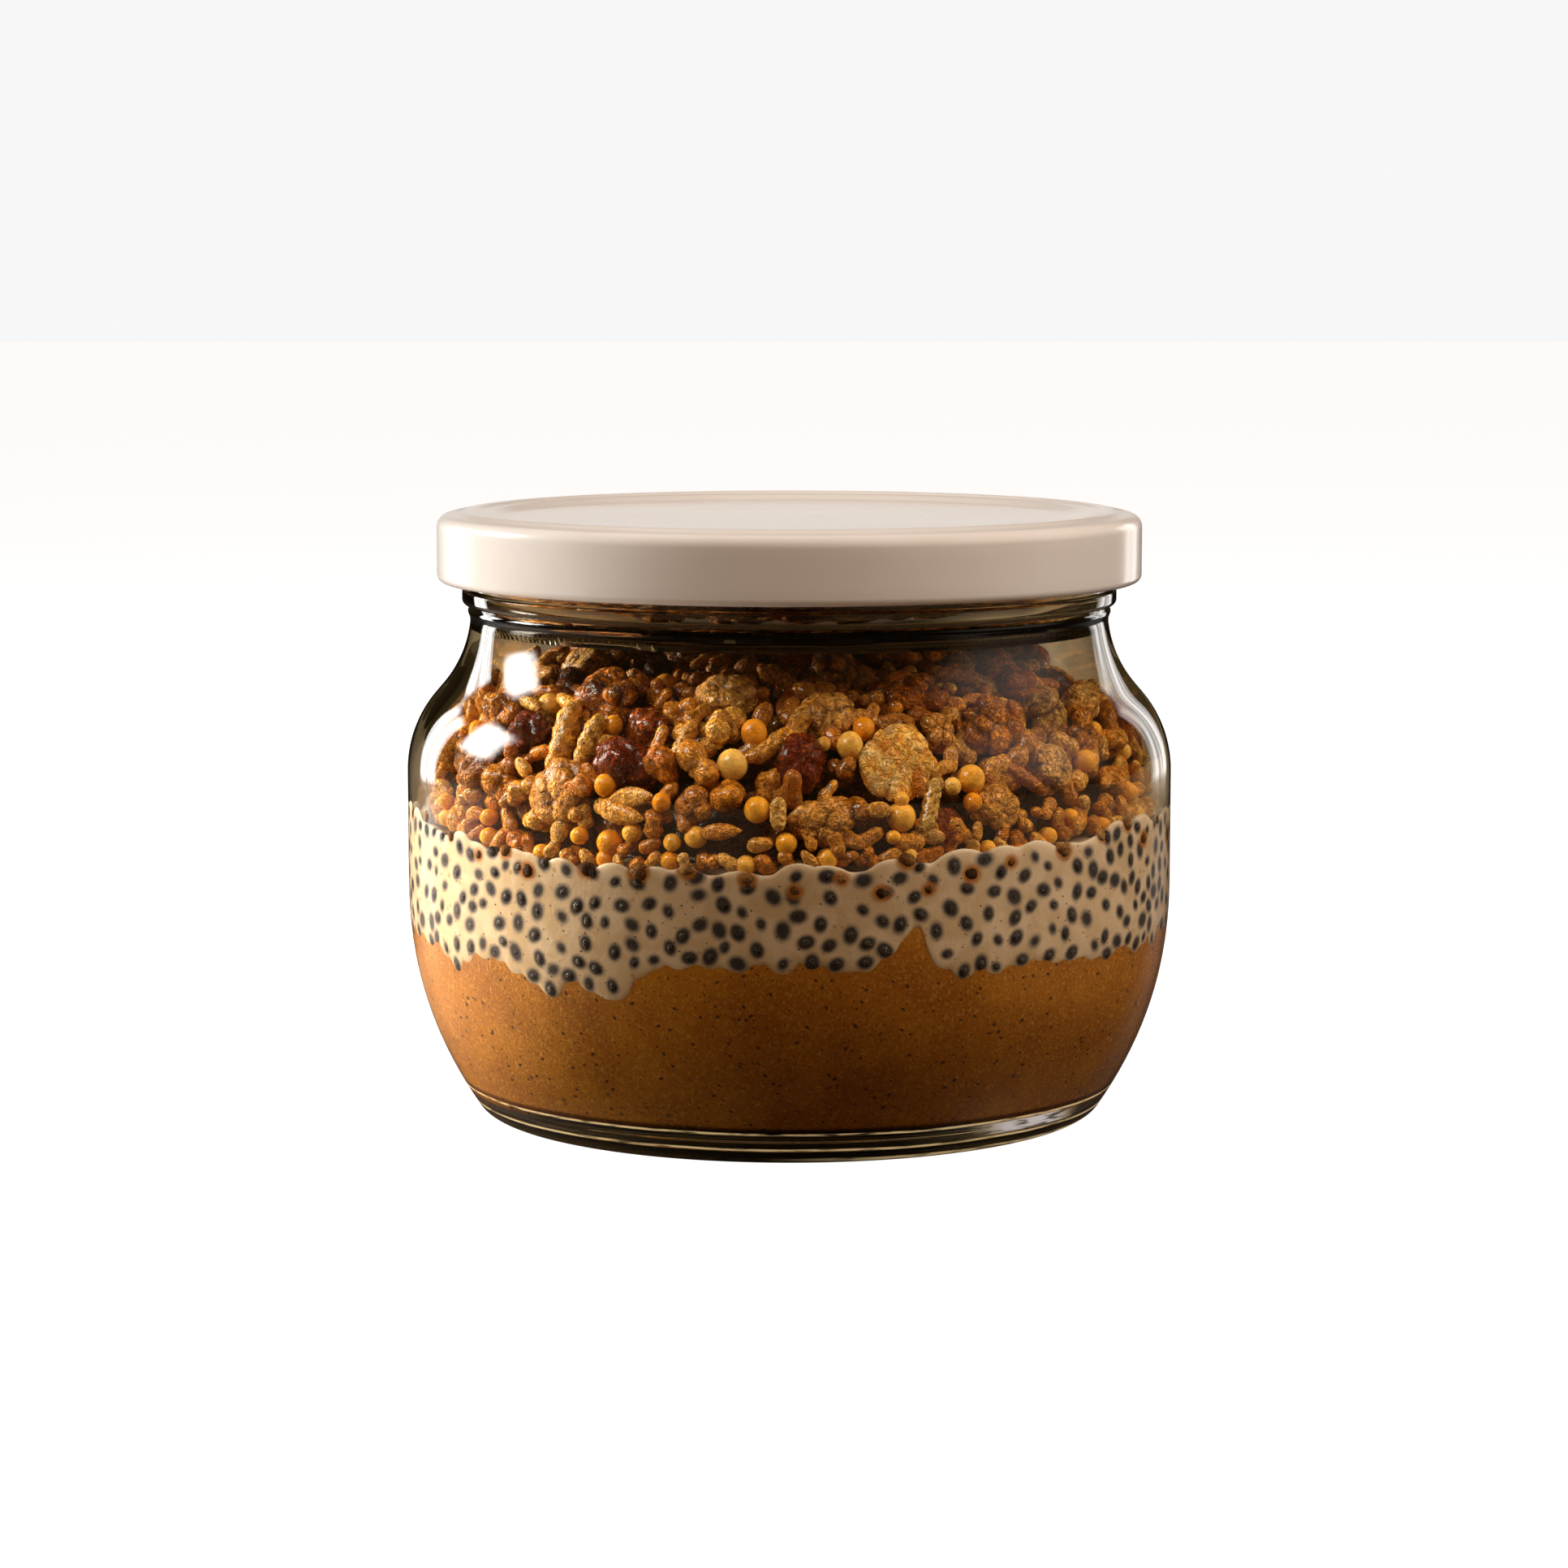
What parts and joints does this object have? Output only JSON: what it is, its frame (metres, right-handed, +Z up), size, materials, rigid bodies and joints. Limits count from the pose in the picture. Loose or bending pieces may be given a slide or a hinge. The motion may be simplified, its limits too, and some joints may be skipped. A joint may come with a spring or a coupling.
{
  "type": "layered overnight oats in a glass jar",
  "caption": "Squat round glass jar with a twist-off lid, filled with peanut butter oats, chia pudding and a heap of granola.",
  "frame": {"origin": "centre of the standing ring, on the surface that the jar stands on", "axes": "+Z up along the jar's axis; -Y towards the side that the picture shows"},
  "size_m": [0.0924, 0.0924, 0.0728],
  "materials": {
    "glass": "clear polished glass",
    "lid_paint": "glossy off-white paint",
    "oats": "moist smooth peanut butter oats with fine specks",
    "pudding": "moist cream with dark seeds in grey gel",
    "granola": "toasted oat clusters, grains, flakes, fruit and kernels"
  },
  "bodies": {
    "root": {"jar_glass": "glass", "lid": "lid_paint", "peanut_butter_oats": "oats", "chia_pudding": "pudding", "granola": "granola"}
  },
  "joints": []
}
